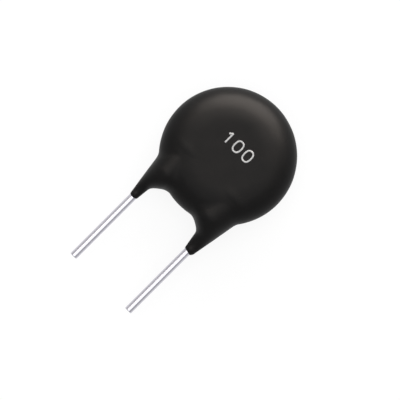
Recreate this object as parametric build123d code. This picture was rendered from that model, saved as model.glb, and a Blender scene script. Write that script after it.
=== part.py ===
from build123d import *
from dataclasses import dataclass
import math
import os

# A disc thermistor with two parallel leads, in millimetres, lying on its back face.
# The marked face looks up (+Z), the leads point to -Y, and X runs across them.
# The origin is the middle of the flat back face. A sintered pellet carries a fired
# silver film on each face, a tinned wire is soldered to each film, and a dipped resin
# coat closes round them all and runs a little way down each wire.

# Sintered pellet
PELLET_DIAMETER = 12.0
PELLET_THICKNESS = 3.0
PELLET_EDGE_BEVEL = 0.15

# Fired silver film on each face of the pellet
FILM_THICKNESS = 0.05
FILM_MARGIN = 0.5

# Tinned wire leads
WIRE_DIAMETER = 0.8
LEAD_PITCH = 7.5
LEAD_FREE_LENGTH = 8.1
LEAD_START_X = 0.9
LEAD_START_Y = 2.6
LEAD_EDGE_X = 3.35
LEAD_OVERHANG = 0.45
LEAD_FALL_ANGLE = 45.0
LEAD_BEND_RADIUS = 1.0
LEAD_KNEE_HEIGHT = 0.12
LEAD_KNEE_INSET = 0.12
LEAD_KNEE_COVER = 0.05

# Solder under and beside each wire
SOLDER_FILM = 0.05
SOLDER_WIDTH = 2.0
SOLDER_HEIGHT = 0.5
SOLDER_SLOPE_ANGLE = 38.0
SOLDER_END = 0.35
SOLDER_EDGE_MARGIN = 0.4

# Dipped coat: flat in the middle of each face, then a shoulder that runs off slowly on the
# crown radius and turns down to the rim on a tighter one
COAT_OVER_RIM = 0.75
COAT_OVER_WIRE = 0.35
COAT_SHOULDER_WIDTH = 3.4
COAT_CROWN_RADIUS = 6.3

# Legs of the coat
LEG_DROP = 2.65
LEG_TIP_COVER = 0.2
LEG_NOSE = 0.6
LEG_NECK = 0.6
LEG_SHOULDER_DROP = 0.3
LEG_CREST_STEP = 0.13
LEG_BLEND_RADIUS = 1.2
LEG_SECTIONS = 12


@dataclass(frozen=True)
class LegForm:
    """How one leg of the coat widens from its tip up to its root inside the disc.

    The covers are the coat's width beside the wire at the tip, and the reaches are its
    width from the wire's axis at the root. The outer side is straight. The inner side
    leans, and swells into a web where it meets the disc.
    """

    side: int
    outer_cover: float
    outer_reach: float
    inner_cover: float
    inner_reach: float
    web_start: float
    web_rise: float
    web_width: float

    def root_y(self):
        """Where the leg starts: there the disc's face still stands above the leg's back."""
        centre_x = lead_x + (self.outer_reach - self.inner_reach) / 2
        radius = crown_radius_at(LEG_CREST_STEP / 2)
        return -math.sqrt(max(radius**2 - centre_x**2, 0.0))

    def outer(self, height):
        """Distance from the wire's axis to the outer side, at a height above the tip."""
        at_tip = wire_radius + self.outer_cover
        return at_tip + (self.outer_reach - at_tip) * height / (self.root_y() - leg_tip_y)

    def inner(self, height):
        """Distance from the wire's axis to the inner side, at a height above the tip."""
        at_tip = wire_radius + self.inner_cover
        lean = (self.inner_reach - self.web_width - at_tip) / (self.root_y() - leg_tip_y)
        web = self.web_width * soft_step((height - self.web_start) / self.web_rise)
        return at_tip + lean * height + web


LEFT_LEG = LegForm(
    side=-1,
    outer_cover=0.03,
    outer_reach=1.39,
    inner_cover=0.03,
    inner_reach=2.75,
    web_start=1.55,
    web_rise=2.0,
    web_width=1.6,
)
RIGHT_LEG = LegForm(
    side=1,
    outer_cover=0.22,
    outer_reach=1.74,
    inner_cover=0.03,
    inner_reach=3.37,
    web_start=1.86,
    web_rise=1.7,
    web_width=1.8,
)

# Sizes that follow from the ones above
wire_radius = WIRE_DIAMETER / 2
pellet_radius = PELLET_DIAMETER / 2
coat_radius = pellet_radius + COAT_OVER_RIM
coat_flat_radius = coat_radius - COAT_SHOULDER_WIDTH
film_radius = pellet_radius - FILM_MARGIN
film_top = PELLET_THICKNESS / 2 + FILM_THICKNESS
wire_axis_height = film_top + SOLDER_FILM + wire_radius
half_thickness = film_top + SOLDER_FILM + WIRE_DIAMETER + COAT_OVER_WIRE
lead_x = LEAD_PITCH / 2
leg_tip_y = -(coat_radius + LEG_DROP)
lead_end_y = leg_tip_y - LEAD_FREE_LENGTH

# Plane half way through the thickness, which every piece is built about
middle = Pos(0, 0, half_thickness)


def soft_step(share):
    """Rises from 0 to 1 along half a cosine wave, and stays level before and after."""
    return 0.5 - 0.5 * math.cos(math.pi * min(max(share, 0.0), 1.0))


def pellet_edge_y():
    """Where the front wire passes over the pellet's edge."""
    return -math.sqrt(pellet_radius**2 - LEAD_EDGE_X**2)


def crown_radius_at(drop):
    """Radius at which the crown of the coated disc has fallen by a drop below the flat."""
    return coat_flat_radius + math.sqrt(drop * (2 * COAT_CROWN_RADIUS - drop))


def rim_radius():
    """Radius of the rim's arc, which meets the crown's arc with no corner: the distance
    between the two centres is the difference of the two radii."""
    squares = COAT_SHOULDER_WIDTH**2 + half_thickness**2
    return (2 * half_thickness * COAT_CROWN_RADIUS - squares) / (
        2 * (COAT_CROWN_RADIUS - COAT_SHOULDER_WIDTH)
    )


def make_pellet():
    """The pressed and sintered pellet, with its two corners bevelled."""
    blank = Cylinder(pellet_radius, PELLET_THICKNESS)
    return chamfer(blank.edges().filter_by(GeomType.CIRCLE), PELLET_EDGE_BEVEL)


def make_film():
    """The silver film on the front face, kept clear of the pellet's edge."""
    film = Cylinder(film_radius, FILM_THICKNESS, align=(Align.CENTER, Align.CENTER, Align.MIN))
    return Pos(0, 0, PELLET_THICKNESS / 2) * film


def lead_route():
    """Corner points of the front lead: across the film, past the pellet's edge, steeply down
    to a knee, easing in to its pitch at the tip of the coat, and straight to the cut end."""
    start = Vector(LEAD_START_X, LEAD_START_Y, wire_axis_height)
    over_edge = Vector(LEAD_EDGE_X, pellet_edge_y(), wire_axis_height)
    bend = over_edge + (over_edge - start).normalized() * LEAD_OVERHANG
    run = (wire_axis_height - LEAD_KNEE_HEIGHT) / math.tan(math.radians(LEAD_FALL_ANGLE))
    knee = Vector(lead_x - LEAD_KNEE_INSET, bend.Y - run, LEAD_KNEE_HEIGHT)
    straight = Vector(lead_x, leg_tip_y + LEAD_KNEE_COVER, 0)
    return [start, bend, knee, straight, Vector(lead_x, lead_end_y, 0)]


def make_lead():
    """The front lead: round wire swept along its route, with both ends sheared square."""
    route = lead_route()
    path = FilletPolyline(*route, radius=LEAD_BEND_RADIUS)
    section = Plane(origin=path @ 0, z_dir=path % 0) * Circle(wire_radius)
    return sweep(section, path=path)


def make_solder(lead):
    """The solder on the front film: a tapered slot under the wire, less the wire itself."""
    start, bend = lead_route()[:2]
    along = (bend - start).normalized()
    first = Vector(start.X, start.Y) - Vector(along.X, along.Y) * SOLDER_END
    reach = film_radius - SOLDER_EDGE_MARGIN - SOLDER_WIDTH / 2
    inward = first.dot(Vector(along.X, along.Y))
    length = -inward + math.sqrt(inward**2 + reach**2 - first.dot(first))
    slot_centre = first + Vector(along.X, along.Y) * (length / 2)
    turn = math.degrees(math.atan2(along.Y, along.X))
    outline = Pos(slot_centre.X, slot_centre.Y, film_top) * Rot(0, 0, turn)
    outline = outline * SlotCenterToCenter(length, SOLDER_WIDTH)
    return extrude(outline, amount=SOLDER_HEIGHT, taper=SOLDER_SLOPE_ANGLE) - lead


def make_coated_disc():
    """The coated disc, turned about the part's axis from a flat, a crown and a rim, with the
    same crown and flat below."""
    crown_centre = Vector(coat_flat_radius, half_thickness - COAT_CROWN_RADIUS)
    rim_centre = Vector(coat_radius - rim_radius(), 0)
    join = crown_centre + (rim_centre - crown_centre).normalized() * COAT_CROWN_RADIUS
    flat = Line((0, half_thickness), (coat_flat_radius, half_thickness))
    crown = TangentArc(flat @ 1, join, tangent=(1, 0))
    rim = ThreePointArc(join, (coat_radius, 0), (join.X, -join.Y))
    lower = [mirror(piece, Plane.XZ) for piece in (flat, crown)]
    axis_line = Line((0, half_thickness), (0, -half_thickness))
    return revolve(Plane.XZ * make_face([flat, crown, rim, *lower, axis_line]), Axis.Z)


def leg_crest(height):
    """Half thickness of a leg: slim at the tip, full where the wire leaves the pellet."""
    slim = wire_radius + LEG_TIP_COVER
    full = half_thickness - LEG_CREST_STEP
    shoulder = pellet_edge_y() - LEG_SHOULDER_DROP - leg_tip_y
    return slim + (full - slim) * soft_step((height - LEG_NECK) / (shoulder - LEG_NECK))


def make_leg(form):
    """One leg of the coat: ellipses lofted down from a plane inside the disc, and a rounded
    nose that runs out on the wire."""
    slim = wire_radius + LEG_TIP_COVER
    nose_height = LEG_NOSE * math.sqrt(1 - (wire_radius / slim) ** 2)
    climb = form.root_y() - leg_tip_y - nose_height
    sections = []
    for step in range(LEG_SECTIONS + 1):
        height = nose_height + climb * step / LEG_SECTIONS
        outer = form.outer(height)
        inner = form.inner(height)
        centre = (form.side * (lead_x + (outer - inner) / 2), leg_tip_y + height, 0)
        level = Plane(origin=centre, x_dir=(1, 0, 0), z_dir=(0, 1, 0))
        sections.append(level * Ellipse((outer + inner) / 2, leg_crest(height)))
    nose_width = form.outer(nose_height) + form.inner(nose_height)
    nose_x = form.side * (lead_x + (form.outer(nose_height) - form.inner(nose_height)) / 2)
    ball = scale(Sphere(1), by=(nose_width / 2, LEG_NOSE, slim))
    nose = split(ball, bisect_by=Plane.XZ, keep=Keep.TOP)
    return loft(sections) + Pos(nose_x, leg_tip_y + nose_height, 0) * nose


def add_leg(coat, form):
    """Joins a leg to the coated disc, with a soft hollow all along the join."""
    leg = make_leg(form)
    joined = coat + leg
    return fillet(new_edges(coat, leg, combined=joined), LEG_BLEND_RADIUS)


def make_coat(fillings):
    """The dipped coat, less everything that it holds."""
    coat = add_leg(add_leg(make_coated_disc(), LEFT_LEG), RIGHT_LEG)
    for filling in fillings:
        coat = coat - filling
    return coat


def to_back(piece):
    """The same piece turned half round about the part's length, onto the back face."""
    return Rot(0, 180, 0) * piece


def main():
    pellet = make_pellet()
    front_film = make_film()
    front_lead = make_lead()
    front_solder = make_solder(front_lead)
    pieces = {
        "ceramic_disc": pellet,
        "front_electrode": front_film,
        "back_electrode": to_back(front_film),
        "front_solder": front_solder,
        "back_solder": to_back(front_solder),
        "front_lead": front_lead,
        "back_lead": to_back(front_lead),
    }
    pieces["resin_coating"] = make_coat(list(pieces.values()))
    os.makedirs("parts", exist_ok=True)
    for name, piece in pieces.items():
        export_step(middle * piece, f"parts/{name}.step")


main()
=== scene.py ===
"""Looks of a dipped disc thermistor: black resin coat, tinned leads, and the pellet inside.

The part lies on its back face with its marked face up (+Z) and its leads along -Y. Sizes
are in millimetres about the middle plane of the part, and are turned to metres, standing
on the floor, when a mesh is made.
"""

import logging
import math
from collections.abc import Callable, Sequence
from dataclasses import dataclass, field
from enum import Enum

import bpy
import numpy as np
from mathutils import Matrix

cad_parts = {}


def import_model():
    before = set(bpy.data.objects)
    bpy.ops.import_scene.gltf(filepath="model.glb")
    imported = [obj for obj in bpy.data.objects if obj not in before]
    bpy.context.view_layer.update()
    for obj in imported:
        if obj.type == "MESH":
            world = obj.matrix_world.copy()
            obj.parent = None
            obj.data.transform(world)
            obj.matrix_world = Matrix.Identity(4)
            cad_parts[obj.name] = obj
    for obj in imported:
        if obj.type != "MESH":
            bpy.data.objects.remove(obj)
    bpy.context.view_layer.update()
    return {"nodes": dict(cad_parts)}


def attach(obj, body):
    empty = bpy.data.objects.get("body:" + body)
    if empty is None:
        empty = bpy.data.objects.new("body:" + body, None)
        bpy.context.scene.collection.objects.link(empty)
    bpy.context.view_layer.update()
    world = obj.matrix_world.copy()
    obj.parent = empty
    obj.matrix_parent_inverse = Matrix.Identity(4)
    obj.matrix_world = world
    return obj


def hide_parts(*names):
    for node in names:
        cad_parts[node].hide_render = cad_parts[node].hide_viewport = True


log = logging.getLogger("thermistor")

Array = np.ndarray
Body = Callable[[Array], tuple[Array, Array]]

# Metres in a mm
MM = 0.001

# Sizes that several pieces share, in mm
HALF_THICKNESS = 2.75
DISC_RADIUS = 6.75
LEG_TIP_Y = -9.4

# Least length that anything is divided by
TINY = 1e-9

# The cosine at a crease stays off -1 and 1, where the blend's formula has no answer
LOWEST_COSINE = -0.999
HIGHEST_COSINE = 0.9995

# Times that a search halves its span, which leaves less than a millionth of a mm
HALVINGS = 24


def linear(hex_colour: str) -> tuple[float, float, float, float]:
    """Turns an sRGB hex colour into linear light: each channel below 0.04045 is divided by
    12.92, and each one above it is shifted, scaled and raised to the power 2.4.

    Args:
        hex_colour: Six hex digits with a leading hash.

    Returns:
        Red, green and blue in linear light, and an alpha of 1.
    """
    parts = np.array([int(hex_colour[i : i + 2], 16) for i in (1, 3, 5)]) / 255.0
    light = np.where(parts <= 0.04045, parts / 12.92, ((parts + 0.055) / 1.055) ** 2.4)
    return float(light[0]), float(light[1]), float(light[2]), 1.0


def soft_step(share: Array) -> Array:
    """Rises from 0 to 1 along half a cosine wave, and stays level before and after."""
    return 0.5 - 0.5 * np.cos(np.pi * np.clip(share, 0.0, 1.0))


def circle(radius: float, angles: Array | float) -> Array:
    """Points of a circle about the origin: the radius times each angle's cosine and sine."""
    return radius * np.stack([np.cos(angles), np.sin(angles)], axis=-1)


def unit(vectors: Array) -> Array:
    """The same vectors, each with a length of one."""
    return vectors / np.maximum(np.linalg.norm(vectors, axis=-1, keepdims=True), TINY)


# Bodies. Each measures an array of points that holds x, y and z in its last axis, and gives
# the signed distance from its surface, negative inside, with the surface's normal there.


def ball_blend(first: Body, second: Body, radius: float) -> Body:
    """Joins two bodies with a hollow that a ball of the radius would leave, rolled along
    their crease. With A and B the radius less each distance, and c the cosine between the
    two normals, the point lies the square root of (A A + B B - 2 A B c) / (1 - c c) from the
    ball's centre line. Outside the ball's reach the nearer surface counts.

    Args:
        first: One body.
        second: The other body.
        radius: Radius of the ball, in mm.

    Returns:
        The joined body, with the nearer body's normal.
    """

    def joined(points: Array) -> tuple[Array, Array]:
        """Measures the joined body."""
        near, near_normal = first(points)
        far, far_normal = second(points)
        cosine = np.sum(near_normal * far_normal, axis=-1)
        cosine = np.clip(cosine, LOWEST_COSINE, HIGHEST_COSINE)
        a, b = radius - near, radius - far
        reach = np.sqrt(np.maximum(a * a + b * b - 2 * a * b * cosine, 0.0) / (1 - cosine**2))
        in_hollow = (a > b * cosine) & (b > a * cosine) & (a > 0) & (b > 0)
        normal = np.where((near < far)[..., None], near_normal, far_normal)
        return np.where(in_hollow, radius - reach, np.minimum(near, far)), normal

    return joined


def crossing(body: Body, place: Callable[[Array], Array], inside: Array, outside: Array) -> Array:
    """Finds where each of many lines leaves a body, by halving its span again and again.

    Args:
        body: The body.
        place: Gives the point at each line's parameter.
        inside: A parameter of each line that lies inside the body.
        outside: A parameter of each line that lies outside it.

    Returns:
        The parameter at which each line crosses the surface.
    """
    for _ in range(HALVINGS):
        middle = (inside + outside) / 2
        within = body(place(middle))[0] < 0
        inside, outside = np.where(within, middle, inside), np.where(within, outside, middle)
    return (inside + outside) / 2


# Meshes


def add_piece(
    name: str, points: Array, faces: list[list[int]]
) -> bpy.types.Object:
    """Makes a smooth piece from points in mm about the middle plane, and rides it on the part.

    Args:
        name: Name of the piece.
        points: Points, one in each row.
        faces: Corners of each face.

    Returns:
        The new object, at the origin, with its place in its mesh.
    """
    placed = (np.asarray(points, float) + np.array([0.0, 0.0, HALF_THICKNESS])) * MM
    mesh = bpy.data.meshes.new(name)
    mesh.from_pydata(placed.tolist(), [], faces)
    mesh.validate()
    mesh.polygons.foreach_set("use_smooth", np.ones(len(mesh.polygons), bool))
    mesh.update()
    piece = bpy.data.objects.new(name, mesh)
    bpy.context.scene.collection.objects.link(piece)
    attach(piece, "root")
    return piece


def grid_faces(rings: int, around: int, looped: bool) -> Array:
    """Quads between neighbouring rings of a grid of points.

    Args:
        rings: Number of rings.
        around: Points in each ring, whose last joins its first.
        looped: Whether the last ring joins the first.

    Returns:
        Four corners in each row.
    """
    row = np.arange(rings if looped else rings - 1)[:, None]
    ring, following = row * around, (row + 1) % rings * around
    step = np.arange(around)[None, :]
    after = (step + 1) % around
    quads = [ring + step, ring + after, following + after, following + step]
    return np.stack(quads, axis=-1).reshape(-1, 4)


def headings(path: Array, looped: bool) -> Array:
    """Unit vectors along a path: at each point the way from the point before to the next."""
    if looped:
        return unit(np.roll(path, -1, axis=0) - np.roll(path, 1, axis=0))
    return unit(np.gradient(path, axis=0))


def tube(
    path: Array,
    side: Array,
    half_widths: Array,
    half_heights: Array,
    around: int,
    looped: bool = False,
) -> tuple[Array, list[list[int]]]:
    """An ellipse carried along a path: each point is the path's point plus the side vector
    times the half width times a cosine, plus the upward vector times the half height times
    a sine. A loop closes on itself, and any other path's two ends are closed by a fan.

    Args:
        path: Centre points, one in each row.
        side: Unit vector across the path at each point.
        half_widths: Half width of the ellipse at each point.
        half_heights: Half height of the ellipse at each point.
        around: Points around the ellipse.
        looped: Whether the path is a loop.

    Returns:
        The points, and the faces with their outer side outwards.
    """
    tangent = headings(path, looped)
    across = unit(side - np.sum(side * tangent, axis=-1, keepdims=True) * tangent)
    up = np.cross(tangent, across)
    angle = np.linspace(0.0, 2 * np.pi, around, endpoint=False)[None, :, None]
    rings = (
        path[:, None, :]
        + across[:, None, :] * half_widths[:, None, None] * np.cos(angle)
        + up[:, None, :] * half_heights[:, None, None] * np.sin(angle)
    )
    count = len(path)
    faces = grid_faces(count, around, looped).tolist()
    if looped:
        return rings.reshape(-1, 3), faces
    points = np.concatenate([rings.reshape(-1, 3), path[:1], path[-1:]])
    first_centre, last_centre = count * around, count * around + 1
    first = np.arange(around)
    after = (first + 1) % around
    last = (count - 1) * around
    first_cap = np.stack([after, first, np.full(around, first_centre)], axis=-1)
    last_cap = np.stack([last + first, last + after, np.full(around, last_centre)], axis=-1)
    return points, [*faces, *first_cap.tolist(), *last_cap.tolist()]


def rounded_route(stops: Array, radius: float, arc_steps: int) -> Array:
    """A route of straight runs whose corners are arcs. The arc at a corner starts the radius
    times the tangent of half the turn before it. At an angle into the arc the point is its
    start, plus the radius times the sine along the arriving run, plus the radius times 1
    less the cosine towards the arc's centre.

    Args:
        stops: The two ends and the corners between them, one in each row.
        radius: Radius of each arc, in mm.
        arc_steps: Spans in each arc.

    Returns:
        Points along the route.
    """
    points = [stops[0]]
    for before, corner, after in zip(stops[:-2], stops[1:-1], stops[2:]):
        arriving, leaving = unit(corner - before), unit(after - corner)
        turn = math.acos(float(np.clip(arriving @ leaving, -1, 1)))
        start = corner - arriving * radius * math.tan(turn / 2)
        inward = unit(leaving - arriving * (arriving @ leaving))
        sweep = np.linspace(0.0, turn, arc_steps + 1)[:, None]
        along = arriving * radius * np.sin(sweep)
        points.extend(start + along + inward * radius * (1 - np.cos(sweep)))
    points.append(stops[-1])
    return np.array(points)


# Finishes


def add_node(
    tree: bpy.types.NodeTree,
    kind: str,
    links: dict[str, bpy.types.NodeSocket] | None = None,
    **settings: object,
) -> bpy.types.Node:
    """Adds a shader node with its settings and links.

    Args:
        tree: The node tree.
        kind: Blender's name of the node.
        links: Input name to the output socket that feeds it.
        **settings: Attributes of the node, or values of its inputs by name.

    Returns:
        The new node.
    """
    node = tree.nodes.new(kind)
    for name, value in settings.items():
        socket = node.inputs.get(name.replace("_", " ").title())
        if socket is not None:
            socket.default_value = value
        else:
            setattr(node, name, value)
    for name, socket in (links or {}).items():
        tree.links.new(socket, node.inputs[name])
    return node


@dataclass(frozen=True)
class Finish:
    """One finish: what the surface is made of, its colour with a darker or duller twin that
    a noise mixes in, and a fine relief.

    The grain is the size of the relief's bumps, in mm, and a patch of colour is a few grains
    across. The relief is the bumps' height, in mm. The stretch scales the pattern along x, y
    and z, so a value below 1 draws it out.
    """

    name: str
    colour: str
    twin: str
    roughness: float
    roughness_spread: float
    grain: float
    relief: float
    metallic: float = 0.0
    ior: float = 1.5
    stretch: tuple[float, float, float] = (1.0, 1.0, 1.0)
    patch_grains: float = 4.0
    bump_strength: float = 0.6

    def build(self) -> bpy.types.Material:
        """Makes the node material, with its patterns on object coordinates.

        Returns:
            The material.
        """
        material = bpy.data.materials.new(self.name)
        material.use_nodes = True
        tree = material.node_tree
        tree.nodes.clear()
        place = add_node(tree, "ShaderNodeTexCoord")
        mapping = add_node(tree, "ShaderNodeMapping", {"Vector": place.outputs["Object"]})
        mapping.inputs["Scale"].default_value = self.stretch
        patches = add_node(
            tree, "ShaderNodeTexNoise", {"Vector": mapping.outputs["Vector"]},
            scale=1.0 / (self.grain * MM * self.patch_grains), detail=3.0, roughness=0.5,
        )
        fine = add_node(
            tree, "ShaderNodeTexNoise", {"Vector": mapping.outputs["Vector"]},
            scale=1.0 / (self.grain * MM), detail=2.0, roughness=0.5,
        )
        colours = add_node(tree, "ShaderNodeMix", data_type="RGBA")
        colours.inputs["A"].default_value = linear(self.colour)
        colours.inputs["B"].default_value = linear(self.twin)
        tree.links.new(patches.outputs["Fac"], colours.inputs["Factor"])
        gloss = add_node(
            tree, "ShaderNodeMapRange", {"Value": patches.outputs["Fac"]},
            to_min=self.roughness - self.roughness_spread,
            to_max=self.roughness + self.roughness_spread,
        )
        bump = add_node(
            tree, "ShaderNodeBump", {"Height": fine.outputs["Fac"]},
            strength=self.bump_strength, distance=self.relief * MM,
        )
        shader = add_node(
            tree, "ShaderNodeBsdfPrincipled",
            {"Base Color": colours.outputs["Result"], "Roughness": gloss.outputs["Result"],
             "Normal": bump.outputs["Normal"]},
        )
        shader.inputs["Metallic"].default_value = self.metallic
        shader.inputs["IOR"].default_value = self.ior
        output = add_node(tree, "ShaderNodeOutputMaterial")
        tree.links.new(shader.outputs["BSDF"], output.inputs["Surface"])
        return material


# Cured dipping resin: near black and satin, with a faint orange peel. Its filler breaks up the
# skin, so it mirrors less than a clear resin, whose index is 1.5.
DIPPED_RESIN = Finish(
    name="cured_dipping_resin",
    colour="#151515",
    twin="#191818",
    roughness=0.42,
    roughness_spread=0.02,
    grain=0.30,
    relief=0.0012,
    ior=1.14,
)
# Hot tinned copper: a bright, soft metal that was drawn and then tinned, so its fine relief
# is long in the direction of the wire.
TINNED_COPPER = Finish(
    name="hot_tinned_copper",
    colour="#d1d0d8",
    twin="#c7c6cf",
    roughness=0.22,
    roughness_spread=0.02,
    grain=0.30,
    relief=0.0003,
    metallic=1.0,
    stretch=(1.0, 0.10, 1.0),
)
# Soft solder: nearly as bright as the tin, but frozen with a duller skin.
SOFT_SOLDER = Finish(
    name="soft_solder",
    colour="#c4c4c6",
    twin="#adadb0",
    roughness=0.38,
    roughness_spread=0.05,
    grain=0.25,
    relief=0.006,
    metallic=1.0,
)
# Fired silver film: a porous layer of silver and glass, pale and matt.
FIRED_SILVER = Finish(
    name="fired_silver",
    colour="#d6d3cb",
    twin="#c6c3ba",
    roughness=0.55,
    roughness_spread=0.05,
    grain=0.10,
    relief=0.003,
    metallic=1.0,
)
# Sintered metal oxide: a dark grey ceramic with a fine, dry grain.
SINTERED_OXIDE = Finish(
    name="sintered_metal_oxide",
    colour="#3b3836",
    twin="#2f2d2c",
    roughness=0.7,
    roughness_spread=0.05,
    grain=0.10,
    relief=0.006,
)
# Pad printed ink: pale grey, thin, and a little uneven where it didn't wet the resin.
MARKING_INK = Finish(
    name="pad_printed_ink",
    colour="#b9b9b9",
    twin="#989898",
    roughness=0.6,
    roughness_spread=0.04,
    grain=0.07,
    relief=0.001,
    ior=1.4,
)


def dress(piece: bpy.types.Object, material: bpy.types.Material) -> None:
    """Gives a piece one material, in place of any it has."""
    piece.data.materials.clear()
    piece.data.materials.append(material)


# The coat


@dataclass(frozen=True)
class Wire:
    """The lead wire's sizes, shared by the coat and the leads."""

    radius: float = 0.4
    pitch: float = 7.5

    @property
    def x(self) -> float:
        """Distance of each lead's free end from the part's axis."""
        return self.pitch / 2


@dataclass(frozen=True)
class LegShape:
    """How one leg of the coat widens from its tip up to its root inside the disc.

    The covers are the coat's width beside the wire at the tip, and the reaches are its
    width from the wire's axis at the root. The outer side is straight. The inner side
    leans, and swells into a web where it meets the disc. The web starts at a height above
    the tip, and takes the rise to swell to its width.
    """

    side: int
    outer_cover: float
    outer_reach: float
    inner_cover: float
    inner_reach: float
    web_start: float
    web_rise: float
    web_width: float
    root_y: float


LEFT_LEG = LegShape(
    side=-1,
    outer_cover=0.03,
    outer_reach=1.39,
    inner_cover=0.03,
    inner_reach=2.75,
    web_start=1.55,
    web_rise=2.0,
    web_width=1.6,
    root_y=-2.94,
)
RIGHT_LEG = LegShape(
    side=1,
    outer_cover=0.22,
    outer_reach=1.74,
    inner_cover=0.03,
    inner_reach=3.37,
    web_start=1.86,
    web_rise=1.7,
    web_width=1.8,
    root_y=-3.08,
)


@dataclass(frozen=True)
class Wave:
    """A sine wave through space: its turn in radians for each mm along x, y and z, and its
    shift in radians."""

    rates: tuple[float, float, float]
    shift: float = 0.0

    def at(self, points: Array) -> Array:
        """Height of the wave at each point: the sine of the point's turn plus the shift."""
        return np.sin(points @ np.array(self.rates) + self.shift)


@dataclass(frozen=True)
class Spokes:
    """The coat's grid in plan. Each spoke starts at a point of the coat's skeleton, which is
    the disc's middle and a line down each leg, and aims at a point near the outline. Spokes
    that start at the same place share one point of the mesh there, by its number."""

    starts: Array
    aims: Array
    roots: Array

    @staticmethod
    def fan(start: Array, aims: Array, root: int) -> "Spokes":
        """Spokes that all start at one point."""
        return Spokes(np.zeros_like(aims) + start, aims, np.full(len(aims), root))

    @staticmethod
    def joined(stretches: list["Spokes"]) -> "Spokes":
        """The spokes of several stretches, one after another."""
        return Spokes(
            starts=np.concatenate([stretch.starts for stretch in stretches]),
            aims=np.concatenate([stretch.aims for stretch in stretches]),
            roots=np.concatenate([stretch.roots for stretch in stretches]),
        )


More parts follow.
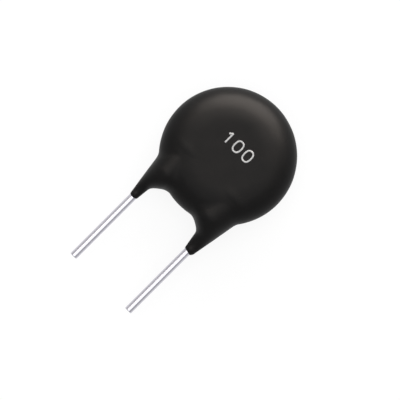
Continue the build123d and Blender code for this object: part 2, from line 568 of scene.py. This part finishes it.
@dataclass
class ResinCoat:
    """The dipped coat: a coated disc with a leg down each lead, blended by a rolled ball.

    The nose is the length of a leg's rounded tip. A leg is slim up to its neck, and full
    from the shoulder on. The root cap is the length of its rounded end inside the disc.

    The skeleton and the aims are corners of the right leg's spokes, from the disc's middle
    to the leg's tip, with the number of spokes from each corner to the next. Round a tip
    the spokes aim as far as tip_aim. A spoke is inside the coat for the share edge_within
    of its length, and outside it at edge_past mm beyond its aim. The headroom clears the
    face. A leg's slope is measured over a slope_step each way, and is least_slope or more.
    """

    wire: Wire = field(default_factory=Wire)
    radius: float = DISC_RADIUS
    shoulder_width: float = 3.4
    crown_radius: float = 6.3
    tip_y: float = LEG_TIP_Y
    nose: float = 0.6
    tip_cover: float = 0.2
    neck: float = 0.6
    shoulder_y: float = -5.28
    crest_step: float = 0.13
    blend_radius: float = 1.2
    root_cap: float = 1.0
    legs: tuple[LegShape, LegShape] = (LEFT_LEG, RIGHT_LEG)
    shrinkage: float = 0.017
    unevenness: float = 0.014
    crossed_waves: tuple[Wave, Wave] = (Wave((1.3, 0.7, 0.0), 0.4), Wave((0.0, 1.1, -0.5)))
    slanted_wave: Wave = Wave((2.1, -1.7, 1.9), 2.2)
    slanted_share: float = 0.6
    skeleton: tuple[tuple[float, float], ...] = (
        (0.0, 0.0), (1.7, -2.95), (3.35, -5.9), (3.72, -7.6), (3.78, -9.15),
    )
    outer_aims: tuple[tuple[float, float], ...] = (
        (6.12, -2.85), (5.45, -4.2), (4.85, -6.1), (4.45, -7.65), (4.2, -9.15),
    )
    inner_aims: tuple[tuple[float, float], ...] = (
        (1.17, -6.65), (1.55, -6.5), (2.3, -6.95), (3.05, -7.75), (3.3, -9.15),
    )
    tip_aim: float = 0.45
    leg_spokes: tuple[int, ...] = (15, 22, 22, 20)
    tip_spokes: int = 24
    arc_spokes: int = 250
    notch_spokes: int = 24
    rings: int = 44
    slope_step: float = 0.01
    least_slope: float = 0.2
    edge_within: float = 0.3
    edge_past: float = 0.5
    headroom: float = 0.1

    @property
    def flat_radius(self) -> float:
        """Radius of the flat in the middle of each face."""
        return self.radius - self.shoulder_width

    @property
    def rim_radius(self) -> float:
        """Radius of the rim's arc, which meets the crown's arc with no corner."""
        squares = self.shoulder_width**2 + HALF_THICKNESS**2
        spare = self.crown_radius - self.shoulder_width
        return (2 * HALF_THICKNESS * self.crown_radius - squares) / (2 * spare)

    @property
    def slim(self) -> float:
        """Half thickness of a leg at its tip."""
        return self.wire.radius + self.tip_cover

    def disc(self, points: Array) -> tuple[Array, Array]:
        """Measures the coated disc: above the flat the distance is the height over it, past
        the flat the distance from the crown's arc, and at the edge that from the rim's arc.
        The two arcs part along the line through their centres.

        Args:
            points: Points, one in each row.

        Returns:
            The distance and the normal of each point.
        """
        out = np.hypot(points[..., 0], points[..., 1])
        high = np.abs(points[..., 2])
        rim_x = self.radius - self.rim_radius
        crown_y = HALF_THICKNESS - self.crown_radius
        on_rim = (out - rim_x) * -crown_y > (rim_x - self.flat_radius) * high
        on_flat = (out < self.flat_radius) & ~on_rim
        centre_x = np.where(on_rim, rim_x, self.flat_radius)
        centre_y = np.where(on_rim, 0.0, crown_y)
        arc = np.where(on_rim, self.rim_radius, self.crown_radius)
        span = np.maximum(np.hypot(out - centre_x, high - centre_y), TINY)
        distance = np.where(on_flat, high - HALF_THICKNESS, span - arc)
        outward = np.where(on_flat, 0.0, (out - centre_x) / span)
        upward = np.where(on_flat, 1.0, (high - centre_y) / span)
        share = outward / np.maximum(out, TINY)
        upward = np.where(points[..., 2] < 0, -upward, upward)
        normal = np.stack([points[..., 0] * share, points[..., 1] * share, upward], axis=-1)
        return distance, normal

    def widths(self, leg: LegShape, height: Array) -> tuple[Array, Array]:
        """Distances from the wire's axis to a leg's outer and inner side. The outer side is
        a straight line from the cover at the tip to the reach at the root. The inner side is
        such a line and a web, which swells along half a cosine wave.

        Args:
            leg: The leg.
            height: Height above the leg's tip.

        Returns:
            The outer and the inner distance.
        """
        climb = leg.root_y - self.tip_y
        outer_tip = self.wire.radius + leg.outer_cover
        inner_tip = self.wire.radius + leg.inner_cover
        outer = outer_tip + (leg.outer_reach - outer_tip) * height / climb
        lean = (leg.inner_reach - leg.web_width - inner_tip) / climb
        web = leg.web_width * soft_step((height - leg.web_start) / leg.web_rise)
        return outer, inner_tip + lean * height + web

    def crest(self, height: Array) -> Array:
        """Half thickness of a leg: slim at the tip, full where the wire leaves the pellet."""
        full = HALF_THICKNESS - self.crest_step
        shoulder = self.shoulder_y - self.tip_y
        rise = soft_step((height - self.neck) / (shoulder - self.neck))
        return self.slim + (full - self.slim) * rise

    def leg(self, leg: LegShape) -> Body:
        """Measures one leg. Its gauge is 1 on the surface: the root of the squares of the
        offset across over the half width, the height over the crest, and the overrun past
        either end over that end's length. The distance is the gauge less 1, over its slope.

        Args:
            leg: The leg.

        Returns:
            The leg as a body.
        """
        nose_height = self.nose * math.sqrt(1 - (self.wire.radius / self.slim) ** 2)
        steps = np.eye(3) * self.slope_step

        def gauge(points: Array) -> Array:
            """The leg's gauge at each point."""
            height = points[..., 1] - self.tip_y
            within = np.clip(height, nose_height, leg.root_y - self.tip_y)
            outer, inner = self.widths(leg, within)
            centre = leg.side * (self.wire.x + (outer - inner) / 2)
            across = (points[..., 0] - centre) / ((outer + inner) / 2)
            end = np.where(height < nose_height, self.nose, self.root_cap)
            overrun = (height - within) / end
            return np.sqrt(across**2 + (points[..., 2] / self.crest(within)) ** 2 + overrun**2)

        def measured(points: Array) -> tuple[Array, Array]:
            """Measures the leg, with the gauge's slope from a small step each way."""
            rises = [gauge(points + step) - gauge(points - step) for step in steps]
            slope = np.stack(rises, axis=-1) / (2 * self.slope_step)
            steepness = np.maximum(np.linalg.norm(slope, axis=-1), self.least_slope)
            return (gauge(points) - 1.0) / steepness, unit(slope)

        return measured

    def body(self) -> Body:
        """The whole coat: both legs blended with the disc, less an even shrinkage and a slow
        unevenness, so it keeps within the solid's size. The unevenness is the product of two
        crossed waves a few mm long and a share of a slanted one, brought between 0 and 1."""
        left, right = (self.leg(form) for form in self.legs)
        highest = 1.0 + self.slanted_share

        def both_legs(points: Array) -> tuple[Array, Array]:
            """Measures the leg on the point's own side."""
            (first, first_normal), (second, second_normal) = left(points), right(points)
            on_left = points[..., 0] < 0
            normal = np.where(on_left[..., None], first_normal, second_normal)
            return np.where(on_left, first, second), normal

        blended = ball_blend(self.disc, both_legs, self.blend_radius)

        def uneven(points: Array) -> tuple[Array, Array]:
            """Measures the blended body with its skin drawn in."""
            first, second = (wave.at(points) for wave in self.crossed_waves)
            waves = first * second + self.slanted_share * self.slanted_wave.at(points)
            drawn_in = self.shrinkage + self.unevenness * (highest + waves) / (2 * highest)
            distance, normal = blended(points)
            return distance + drawn_in, normal

        return uneven

    def spokes(self) -> Spokes:
        """Lays the spokes anticlockwise, seen from above: over the disc's top, down and up
        the left leg, past the notch between the legs, and down and up the right leg. Down a
        leg they are spaced evenly between the corners, and round a tip evenly by angle.

        Returns:
            The spokes.
        """
        knots = np.cumsum([0, *self.leg_spokes])
        stations = np.arange(knots[-1] + 1)

        def along(points: tuple) -> Array:
            """One place for each station, evenly spaced between the points."""
            axes = np.array(points).T
            return np.stack([np.interp(stations, knots, axis) for axis in axes], axis=-1)

        line, outer, inner = along(self.skeleton), along(self.outer_aims), along(self.inner_aims)
        middle, tip = np.zeros(2), line[-1]
        mirror = np.array([-1.0, 1.0])
        under = np.linspace(math.pi, 2 * math.pi, self.tip_spokes + 1)[1:-1]
        around_tip = circle(self.tip_aim, under)
        outer_angle = math.atan2(outer[0, 1], outer[0, 0])
        inner_angle = math.atan2(inner[0, 1], inner[0, 0])
        over = np.linspace(outer_angle, math.pi - outer_angle, self.arc_spokes + 1)[1:-1]
        between = np.linspace(-math.pi - inner_angle, inner_angle, self.notch_spokes + 1)[1:-1]
        count = len(stations) - 1
        left_roots = np.arange(count + 1)
        right_roots = np.concatenate([[0], left_roots[1:] + count])
        return Spokes.joined([
            Spokes.fan(middle, circle(self.radius, over), 0),
            Spokes(line * mirror, outer * mirror, left_roots),
            Spokes.fan(tip * mirror, tip * mirror + around_tip, left_roots[-1]),
            Spokes(line[::-1] * mirror, inner[::-1] * mirror, left_roots[::-1]),
            Spokes.fan(middle, circle(self.radius, between), 0),
            Spokes(line, inner, right_roots),
            Spokes.fan(tip, tip + around_tip, right_roots[-1]),
            Spokes(line[::-1], outer[::-1], right_roots[::-1]),
        ])

    def outline(self, body: Body, spokes: Spokes) -> Array:
        """Finds where each spoke meets the coat's outline, on the middle plane.

        Args:
            body: The coat.
            spokes: The spokes.

        Returns:
            One point for each spoke.
        """
        reach = spokes.aims - spokes.starts
        length = np.linalg.norm(reach, axis=-1)

        def on_spoke(share: Array) -> Array:
            """The point at a share of each spoke, which is its start plus that of its reach."""
            plan = spokes.starts + reach * share[:, None]
            return np.concatenate([plan, np.zeros((len(plan), 1))], axis=-1)

        within = np.full(len(length), self.edge_within)
        return on_spoke(crossing(body, on_spoke, within, 1.0 + self.edge_past / length))

    def sheet(self, body: Body, plan: Array, upward: float) -> Array:
        """Lifts points of the plan straight up or down to the coat's surface.

        Args:
            body: The coat.
            plan: Points in plan, inside the outline.
            upward: 1 for the front sheet and -1 for the back.

        Returns:
            The points in space.
        """

        def lifted(height: Array) -> Array:
            """The plan's points at their heights."""
            return np.concatenate([plan, upward * height[..., None]], axis=-1)

        still = np.zeros(plan.shape[:-1])
        return lifted(crossing(body, lifted, still, still + HALF_THICKNESS + self.headroom))

    def faces(self, roots: Array, hubs: int) -> list[list[int]]:
        """Joins each spoke to the next: quads along them, and a triangle where both start at
        one hub. The mesh holds the front hubs, the back hubs, the outline, and then the
        points between for the front and for the back, spoke by spoke. The back's faces run
        the other way round.

        Args:
            roots: Number of the hub that each spoke starts at.
            hubs: Number of hubs.

        Returns:
            The faces of both sheets, with their outer side outwards.
        """
        around, inner = len(roots), self.rings - 1
        edge = 2 * hubs + np.arange(around)[:, None]
        between = 2 * hubs + around + np.arange(2 * around * inner).reshape(2, around, inner)
        faces = []
        for back in (0, 1):
            grid = np.concatenate([roots[:, None] + back * hubs, between[back], edge], axis=1)
            after = np.roll(grid, -1, axis=0)
            sides = [grid[:, :-1], grid[:, 1:], after[:, 1:], after[:, :-1]]
            quads = np.stack(sides[::-1] if back else sides, axis=-1).reshape(-1, 4)
            pointed = quads[:, 0] == quads[:, 3]
            faces.extend(quads[~pointed].tolist())
            faces.extend(quads[pointed][:, :3].tolist())
        return faces

    def build(self) -> bpy.types.Object:
        """Grows the grid. Along a spoke the share of the way to the outline is the sine of
        an even turn, so the points are even round a rim that is an arc. The two sheets share
        the outline, and spokes that start together share that point.

        Returns:
            The coat.
        """
        body, spokes = self.body(), self.spokes()
        rim = self.outline(body, spokes)
        turn = np.sin(np.linspace(0.0, np.pi / 2, self.rings + 1))[None, 1:-1, None]
        start = spokes.starts[:, None, :]
        plan = start + (rim[:, None, :2] - start) * turn
        hubs = spokes.starts[np.unique(spokes.roots, return_index=True)[1]]
        front, back = (self.sheet(body, plan, way).reshape(-1, 3) for way in (1.0, -1.0))
        front_hubs, back_hubs = (self.sheet(body, hubs, way) for way in (1.0, -1.0))
        points = np.concatenate([front_hubs, back_hubs, rim, front, back])
        faces = self.faces(spokes.roots, len(hubs))
        coat = add_piece("dipped_coat", points, faces)
        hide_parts("resin_coating")
        return coat

    def dress(self, coat: bpy.types.Object) -> None:
        """Gives the coat its satin black resin."""
        dress(coat, DIPPED_RESIN.build())


# The leads, the marking and the core


@dataclass
class Lead:
    """A tinned wire: across the film, past the pellet's edge, down to a knee, and straight
    out to its sheared end, where the shears draw it in a little."""

    side: int
    wire: Wire = field(default_factory=Wire)
    start: tuple[float, float] = (0.9, 2.6)
    pellet_radius: float = 6.0
    edge_x: float = 3.35
    overhang: float = 0.45
    height: float = 2.0
    knee_inset: float = 0.12
    knee_height: float = 0.12
    knee_cover: float = 0.05
    tip_y: float = LEG_TIP_Y
    free_length: float = 8.1
    bend_radius: float = 1.0
    bend_steps: int = 14
    free_steps: int = 89
    around: int = 40
    shear_bevel: float = 0.05
    shear_draw: float = 0.035
    shear_edge: float = 0.004

    def route(self) -> Array:
        """Corner points of this lead. It passes over the pellet's edge where the pellet's
        circle has the edge's x. The back lead is the front one turned half round about the
        part's length."""
        edge_y = -math.sqrt(self.pellet_radius**2 - self.edge_x**2)
        start = np.array([*self.start, self.height])
        edge = np.array([self.edge_x, edge_y, self.height])
        bend = edge + unit(edge - start) * self.overhang
        drop = self.height - self.knee_height
        knee = np.array([self.wire.x - self.knee_inset, bend[1] - drop, self.knee_height])
        straight = np.array([self.wire.x, self.tip_y + self.knee_cover, 0.0])
        end = np.array([self.wire.x, self.tip_y - self.free_length, 0.0])
        return np.array([start, bend, knee, straight, end]) * [self.side, 1.0, self.side]

    def build(self) -> bpy.types.Object:
        """Carries a round section along the route. Over the bevel its radius falls with the
        square of the way to the sheared end.

        Returns:
            The lead.
        """
        name, node = ("front_wire", "front_lead") if self.side > 0 else ("back_wire", "back_lead")
        route = rounded_route(self.route(), self.bend_radius, self.bend_steps)
        runs = np.linalg.norm(np.diff(route, axis=0), axis=1)
        length = np.concatenate([[0.0], np.cumsum(runs)])
        end = length[-1]
        free = np.linspace(length[-2], end, self.free_steps + 1)[1:-1]
        sheared = [end - self.shear_bevel, end - self.shear_edge, end]
        stations = np.unique(np.concatenate([length[:-1], free, sheared]))
        path = np.stack([np.interp(stations, length, axis) for axis in route.T], axis=-1)
        bevel = np.clip(1.0 - (end - stations) / self.shear_bevel, 0.0, 1.0)
        radius = self.wire.radius - self.shear_draw * bevel**2
        side = np.tile([1.0, 0.0, 0.0], (len(path), 1))
        points, faces = tube(path, side, radius, radius, self.around)
        lead = add_piece(name, points, faces)
        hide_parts(node)
        return lead

    def dress(self, lead: bpy.types.Object, material: bpy.types.Material) -> None:
        """Gives the lead its bright tin."""
        dress(lead, material)


class Figure(Enum):
    """The plain figures that the marking can hold."""

    ONE = "one"
    NOUGHT = "nought"


@dataclass
class Marking:
    """Plain figures printed on the face: thin strokes of ink, sunk in the coat's face and
    just proud of it, with their tops a hair below the part's full thickness.

    The gap between figures is in strokes, the one's stem stands at a share of the figure's
    width, and its flag ends at shares of the width and of the half height.
    """

    centre: tuple[float, float] = (0.07, 1.31)
    height: float = 1.36
    width: float = 3.6
    stroke: float = 0.17
    gap_strokes: float = 1.9
    sunk: float = 0.032
    ink: float = 0.030
    figures: tuple[Figure, ...] = (Figure.ONE, Figure.NOUGHT, Figure.NOUGHT)
    roundness: float = 0.8
    stem_share: float = 0.1
    flag_end: tuple[float, float] = (-0.22, 0.52)
    nought_points: int = 96
    stem_points: int = 24
    flag_points: int = 12
    around: int = 16

    def lines(self, figure: Figure, box: float) -> list[Array]:
        """Centre lines of a figure, in mm about its own middle. A nought is a rounded loop,
        whose half width and half height take a cosine and a sine, each to the power of the
        roundness. A one is a stem with a short flag.

        Args:
            figure: The figure.
            box: The figure's width.

        Returns:
            Arrays of points in the plane of the face.
        """
        half = (self.height - self.stroke) / 2
        if figure is Figure.NOUGHT:
            angle = np.linspace(0.0, 2 * np.pi, self.nought_points, endpoint=False)
            ring = circle(1.0, angle)
            loop = np.sign(ring) * np.abs(ring) ** self.roundness
            return [loop * [(box - self.stroke) / 2, half]]
        top = [self.stem_share * box, half]
        foot = [self.stem_share * box, -half]
        flag = [self.flag_end[0] * box, self.flag_end[1] * half]
        return [np.linspace(top, foot, self.stem_points), np.linspace(top, flag, self.flag_points)]

    def build(self) -> list[bpy.types.Object]:
        """Carries a low, round section along each figure's lines, on the coat's face.

        Returns:
            One piece for each stroke.
        """
        pieces = []
        count = len(self.figures)
        gap = self.stroke * self.gap_strokes
        box = (self.width - gap * (count - 1)) / count
        for place, figure in enumerate(self.figures):
            middle = self.centre[0] + (place - (count - 1) / 2) * (box + gap)
            for part, line in enumerate(self.lines(figure, box)):
                flat = line + [middle, self.centre[1]]
                path = np.column_stack([flat, np.full(len(flat), HALF_THICKNESS - self.sunk)])
                looped = figure is Figure.NOUGHT
                side = np.cross(headings(path, looped), [0.0, 0.0, 1.0])
                width = np.full(len(path), self.stroke / 2)
                rise = np.full(len(path), self.ink)
                points, faces = tube(path, side, width, rise, self.around, looped)
                pieces.append(add_piece(f"figure_{place + 1}_{part + 1}", points, faces))
        return pieces

    def dress(self, pieces: list[bpy.types.Object]) -> None:
        """Gives every stroke the same ink."""
        material = MARKING_INK.build()
        for piece in pieces:
            dress(piece, material)


@dataclass
class Core:
    """What the coat hides: the pellet, its silver films and the solder, as the CAD has them."""

    def dress(self, nodes: dict[str, bpy.types.Object]) -> None:
        """Gives each hidden CAD node the finish of its own material.

        Args:
            nodes: The CAD nodes by name.
        """
        silver, solder = FIRED_SILVER.build(), SOFT_SOLDER.build()
        dress(nodes["ceramic_disc"], SINTERED_OXIDE.build())
        for end in ("front", "back"):
            dress(nodes[f"{end}_electrode"], silver)
            dress(nodes[f"{end}_solder"], solder)


# The studio


@dataclass(frozen=True)
class Panel:
    """A soft panel of light: where it hangs, in degrees and metres, its size in metres, and
    the brightness of its face, where 1 is white. One that is only gloss lights nothing, and
    is only seen mirrored."""

    name: str
    azimuth: float
    elevation: float
    away: float
    width: float
    height: float
    radiance: float
    tint: str = "#ffffff"
    only_gloss: bool = False


OVERHEAD_PANEL = Panel(
    name="overhead_panel",
    azimuth=0.0,
    elevation=90.0,
    away=0.5,
    width=0.60,
    height=0.60,
    radiance=1.1,
)
KEY_PANEL = Panel(
    name="key_panel",
    azimuth=118.0,
    elevation=20.0,
    away=0.45,
    width=0.74,
    height=0.34,
    radiance=2.8,
)
SHEEN_PANEL = Panel(
    name="sheen_panel",
    azimuth=115.0,
    elevation=31.0,
    away=0.50,
    width=0.82,
    height=0.72,
    radiance=13.6,
    tint="#fff3e8",
    only_gloss=True,
)


@dataclass
class Studio:
    """A white table under soft light, with the camera straight above.

    The camera is rolled so that the leads point to the lower left. The pixel values place
    the middle of the disc in the 400 pixel frame, and give its size there. The camera's
    distance, its nearest and furthest sight and the table's half width are in metres.
    """

    disc_pixel: tuple[float, float] = (228.0, 156.0)
    disc_radius_pixels: float = 69.5
    frame_pixels: float = 400.0
    disc_radius: float = DISC_RADIUS
    distance: float = 1.2
    roll: float = 45.0
    sensor_width: float = 36.0
    nearest: float = 0.05
    furthest: float = 10.0
    table_half: float = 1.5
    table_glow: float = 0.87
    paper_light: float = 0.8
    room_light: float = 0.54
    panels: tuple[Panel, ...] = (OVERHEAD_PANEL, KEY_PANEL, SHEEN_PANEL)

    def camera(self) -> None:
        """Puts a long lens above the part. One pixel is the disc's radius in mm over its
        radius in pixels, and the lens sees the frame's width at the middle plane."""
        pixel = self.disc_radius / self.disc_radius_pixels
        roll = math.radians(self.roll)
        right = np.array([math.cos(roll), math.sin(roll)])
        up = np.array([-right[1], right[0]])
        disc_right = self.disc_pixel[0] - self.frame_pixels / 2
        disc_up = self.frame_pixels / 2 - self.disc_pixel[1]
        centre = -(right * disc_right + up * disc_up) * pixel * MM
        data = bpy.data.cameras.new("camera")
        data.sensor_width = self.sensor_width
        data.lens = self.sensor_width * self.distance / (self.frame_pixels * pixel * MM)
        data.clip_start = self.nearest
        data.clip_end = self.furthest
        camera = bpy.data.objects.new("camera", data)
        camera.location = (centre[0], centre[1], HALF_THICKNESS * MM + self.distance)
        camera.rotation_euler = (0.0, 0.0, roll)
        bpy.context.scene.collection.objects.link(camera)
        bpy.context.scene.camera = camera

    def hang(self, panel: Panel) -> None:
        """Hangs a soft oval panel that faces the part. Its area is a quarter of pi times its
        width and its height, and its power is 4 times its radiance times its area.

        Args:
            panel: The panel.
        """
        data = bpy.data.lights.new(panel.name, "AREA")
        data.shape = "ELLIPSE"
        data.size = panel.height
        data.size_y = panel.width
        area = math.pi / 4 * panel.width * panel.height
        data.energy = 4 * panel.radiance * area
        data.color = linear(panel.tint)[:3]
        light = bpy.data.objects.new(panel.name, data)
        turn, lift = math.radians(panel.azimuth), math.radians(panel.elevation)
        toward = np.array([*circle(math.cos(lift), turn), math.sin(lift)])
        light.location = toward * panel.away
        light.rotation_euler = (0.0, math.pi / 2 - lift, turn)
        light.visible_diffuse = not panel.only_gloss
        bpy.context.scene.collection.objects.link(light)

    def shown_white(
        self,
        tree: bpy.types.NodeTree,
        unseen: bpy.types.Node,
        seen: bpy.types.Node,
        output: str,
        rays: tuple[str, ...],
    ) -> None:
        """Shows one shader to the named kinds of ray and another to the rest. The switch is
        the highest of the Light Path's flags for those rays.

        Args:
            tree: The node tree.
            unseen: The shader for all other rays.
            seen: The shader for the named rays.
            output: Blender's name of the output node.
            rays: Names of the Light Path's outputs.
        """
        path = add_node(tree, "ShaderNodeLightPath")
        flag = path.outputs[rays[0]]
        for ray in rays[1:]:
            highest = add_node(tree, "ShaderNodeMath", operation="MAXIMUM")
            tree.links.new(flag, highest.inputs[0])
            tree.links.new(path.outputs[ray], highest.inputs[1])
            flag = highest.outputs["Value"]
        mixed = add_node(tree, "ShaderNodeMixShader", {"Fac": flag})
        tree.links.new(unseen.outputs[0], mixed.inputs[1])
        tree.links.new(seen.outputs[0], mixed.inputs[2])
        add_node(tree, output, {"Surface": mixed.outputs["Shader"]})

    def table(self) -> None:
        """Lays a sheet of white paper under the part. What the camera and polished metal see
        of it glows to white, with a share of lit paper that keeps the part's soft shadow."""
        half = self.table_half
        square = [(-half, -half, 0), (half, -half, 0), (half, half, 0), (-half, half, 0)]
        mesh = bpy.data.meshes.new("table")
        mesh.from_pydata(square, [], [(0, 1, 2, 3)])
        table = bpy.data.objects.new("table", mesh)
        bpy.context.scene.collection.objects.link(table)
        material = bpy.data.materials.new("white_paper")
        material.use_nodes = True
        tree = material.node_tree
        tree.nodes.clear()
        share, light = 1.0 - self.table_glow, self.paper_light
        lit = add_node(tree, "ShaderNodeBsdfDiffuse", color=(share, share, share, 1.0))
        glow = add_node(tree, "ShaderNodeEmission", strength=self.table_glow)
        both = add_node(tree, "ShaderNodeAddShader")
        tree.links.new(lit.outputs["BSDF"], both.inputs[0])
        tree.links.new(glow.outputs["Emission"], both.inputs[1])
        paper = add_node(tree, "ShaderNodeBsdfDiffuse", color=(light, light, light, 1.0))
        rays = ("Is Camera Ray", "Is Glossy Ray", "Is Transmission Ray")
        self.shown_white(tree, paper, both, "ShaderNodeOutputMaterial", rays)
        dress(table, material)

    def sky(self) -> None:
        """Fills the room with a dim even light, and shows white behind the part."""
        world = bpy.data.worlds.new("room")
        bpy.context.scene.world = world
        world.use_nodes = True
        tree = world.node_tree
        tree.nodes.clear()
        white = (1.0, 1.0, 1.0, 1.0)
        dim = add_node(tree, "ShaderNodeBackground", color=white, strength=self.room_light)
        bright = add_node(tree, "ShaderNodeBackground", color=white, strength=1.0)
        self.shown_white(tree, dim, bright, "ShaderNodeOutputWorld", ("Is Camera Ray",))

    def build(self) -> None:
        """Sets the table, the room, the panels and the camera."""
        self.table()
        self.sky()
        for panel in self.panels:
            self.hang(panel)
        self.camera()
        bpy.context.scene.view_settings.view_transform = "Standard"


def main() -> None:
    """Builds and dresses each sub-assembly in turn, and reports it."""
    logging.basicConfig(level=logging.INFO, format="%(message)s")
    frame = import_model()
    coat = ResinCoat()
    coat_piece = coat.build()
    coat.dress(coat_piece)
    log.info("coat: %d faces", len(coat_piece.data.polygons))
    tin = TINNED_COPPER.build()
    for side in (1, -1):
        lead = Lead(side)
        piece = lead.build()
        lead.dress(piece, tin)
        log.info("%s: %d faces", piece.name, len(piece.data.polygons))
    marking = Marking()
    strokes = marking.build()
    marking.dress(strokes)
    log.info("marking: %d strokes", len(strokes))
    Core().dress(frame["nodes"])
    Studio().build()


if __name__ == "__main__":
    main()
